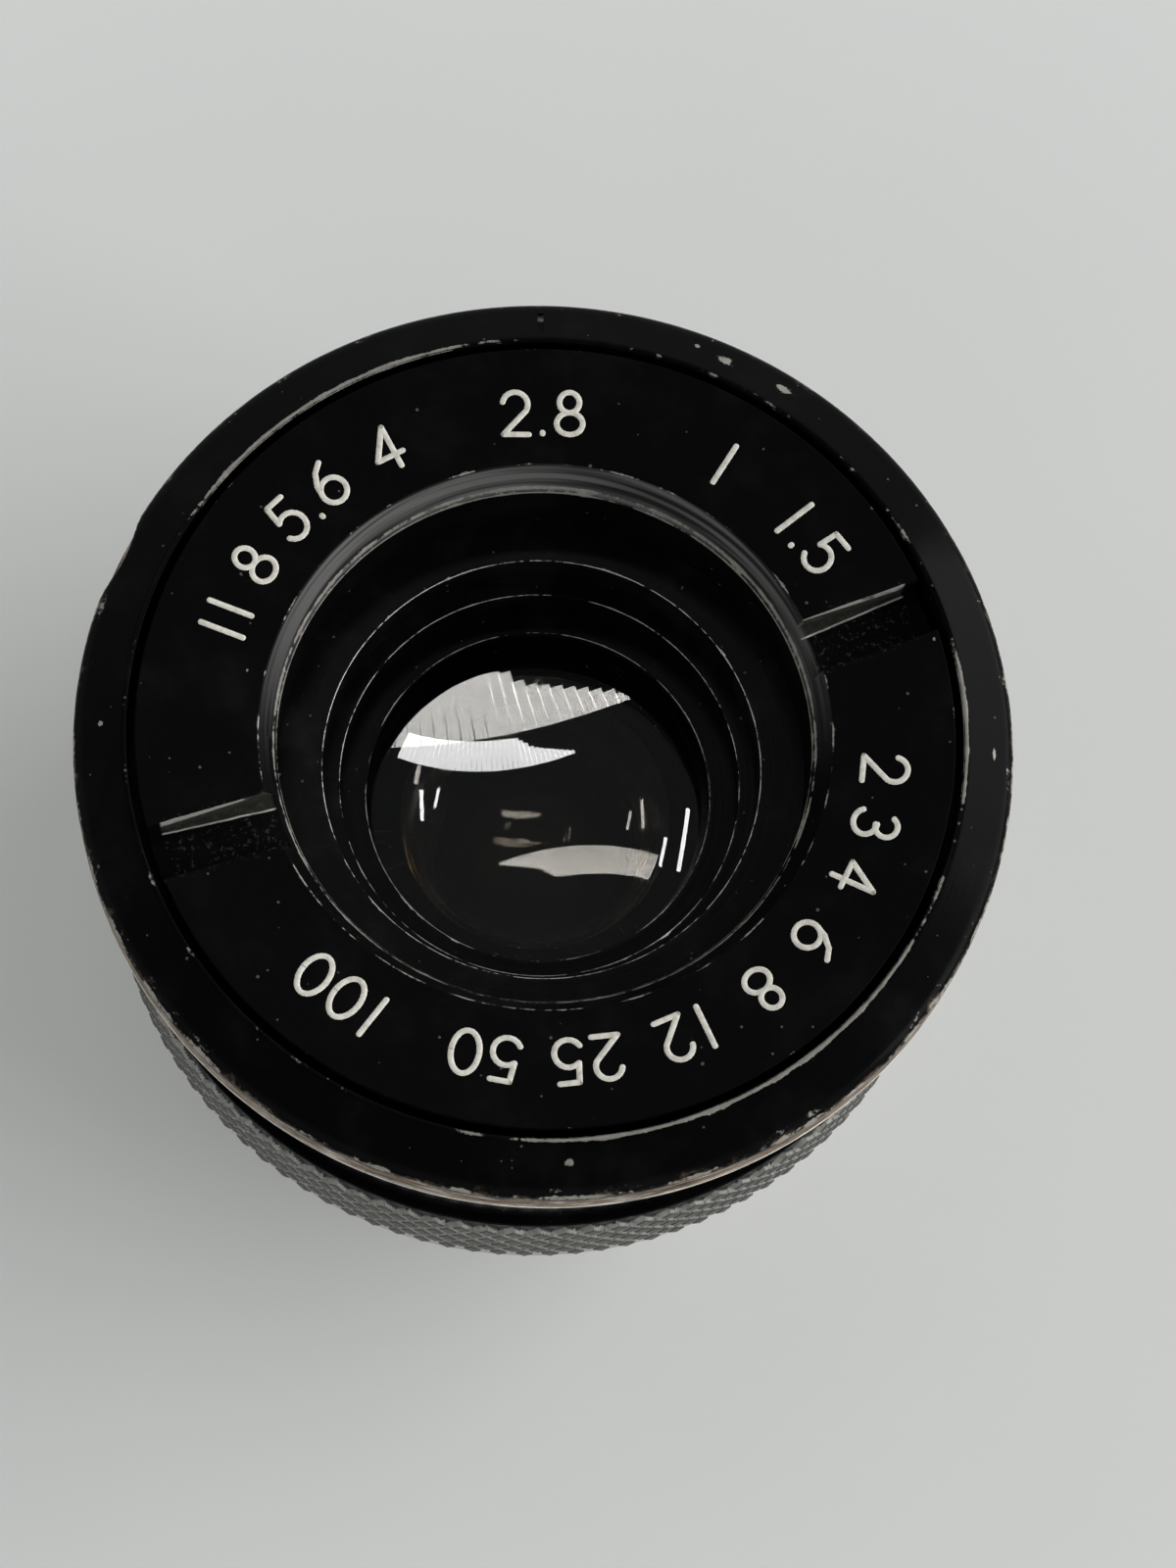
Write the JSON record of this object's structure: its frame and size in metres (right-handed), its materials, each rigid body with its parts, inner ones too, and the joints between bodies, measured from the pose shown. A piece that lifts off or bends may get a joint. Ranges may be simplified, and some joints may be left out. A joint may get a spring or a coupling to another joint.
{
  "type": "camera lens",
  "caption": "Small black cine lens with a screw mount, knurled focus ring, bevelled aperture ring, stepped hood and a working iris diaphragm.",
  "frame": {"origin": "middle of the flat rear end of the mount's thread, which the lens stands on", "axes": "+Z along the optical axis towards the subject, +X to the right and +Y away as the picture shows it"},
  "size_m": [0.03, 0.03, 0.018],
  "materials": {
    "black_enamel": "gloss black enamel, worn to grey metal on the edges",
    "hood_black": "satin black, turned steps with bright worn edges",
    "knurled_grip": "worn black over metal, dull, with a diamond knurl",
    "blackened_brass": "matt black over brass",
    "plain_brass": "turned brass",
    "plated_mount": "dull plating with light scratches",
    "steel_screw": "turned steel",
    "blade_steel": "blackened spring steel",
    "lens_glass": "polished glass with a faint blue coating"
  },
  "bodies": {
    "mount": {"mount_sleeve": "plated_mount", "guide_key": "plain_brass", "guide_screws": "steel_screw", "stop_pin": "steel_screw", "focus_lock_ring": "plain_brass"},
    "focus": {"focus_ring": "knurled_grip", "helicoid_nut": "plain_brass"},
    "head": {"main_barrel": "blackened_brass", "name_ring": "black_enamel", "front_cell": "hood_black", "front_element": "lens_glass", "middle_cell": "hood_black", "middle_element": "lens_glass", "front_lock_ring": "blackened_brass", "aperture_stop_ring": "plain_brass", "rear_cell": "blackened_brass", "rear_element": "lens_glass", "rear_lock_ring": "blackened_brass", "iris_cage": "blackened_brass", "iris_cover": "blackened_brass"},
    "aperture": {"aperture_ring": "black_enamel", "drive_screw": "steel_screw", "iris_drive_ring": "plain_brass"},
    "blade_1": {"iris_blade_1": "blade_steel"},
    "blade_2": {"iris_blade_2": "blade_steel"},
    "blade_3": {"iris_blade_3": "blade_steel"},
    "blade_4": {"iris_blade_4": "blade_steel"},
    "blade_5": {"iris_blade_5": "blade_steel"},
    "blade_6": {"iris_blade_6": "blade_steel"}
  },
  "joints": [
    {"name": "focus_turn", "type": "hinge", "parent": "mount", "child": "focus", "pos_m": [0, 0, 0.007], "axis": [0, 0, 1], "range_deg": [0, 300]},
    {"name": "head_slide", "type": "slide", "parent": "mount", "child": "head", "axis": [0, 0, 1], "range_m": [0, 0.0011]},
    {"name": "aperture_turn", "type": "hinge", "parent": "head", "child": "aperture", "pos_m": [0, 0, 0.015], "axis": [0, 0, 1], "range_deg": [0, 69.3]},
    {"name": "blade_1_turn", "type": "hinge", "parent": "head", "child": "blade_1", "pos_m": [0.0052, 0, 0.003], "axis": [0, 0, 1], "range_deg": [0, 40]},
    {"name": "blade_2_turn", "type": "hinge", "parent": "head", "child": "blade_2", "pos_m": [0.0026, 0.0045, 0.003], "axis": [0, 0, 1], "range_deg": [0, 40]},
    {"name": "blade_3_turn", "type": "hinge", "parent": "head", "child": "blade_3", "pos_m": [-0.0026, 0.0045, 0.003], "axis": [0, 0, 1], "range_deg": [0, 40]},
    {"name": "blade_4_turn", "type": "hinge", "parent": "head", "child": "blade_4", "pos_m": [-0.0052, 0, 0.003], "axis": [0, 0, 1], "range_deg": [0, 40]},
    {"name": "blade_5_turn", "type": "hinge", "parent": "head", "child": "blade_5", "pos_m": [-0.0026, -0.0045, 0.003], "axis": [0, 0, 1], "range_deg": [0, 40]},
    {"name": "blade_6_turn", "type": "hinge", "parent": "head", "child": "blade_6", "pos_m": [0.0026, -0.0045, 0.003], "axis": [0, 0, 1], "range_deg": [0, 40]}
  ],
  "couplings": [
    {"joint": "focus_turn", "follows": "head_slide", "rad_per_m": 4760},
    {"joint": "blade_1_turn", "follows": "aperture_turn", "ratio": 0.5},
    {"joint": "blade_2_turn", "follows": "aperture_turn", "ratio": 0.5},
    {"joint": "blade_3_turn", "follows": "aperture_turn", "ratio": 0.5},
    {"joint": "blade_4_turn", "follows": "aperture_turn", "ratio": 0.5},
    {"joint": "blade_5_turn", "follows": "aperture_turn", "ratio": 0.5},
    {"joint": "blade_6_turn", "follows": "aperture_turn", "ratio": 0.5}
  ]
}
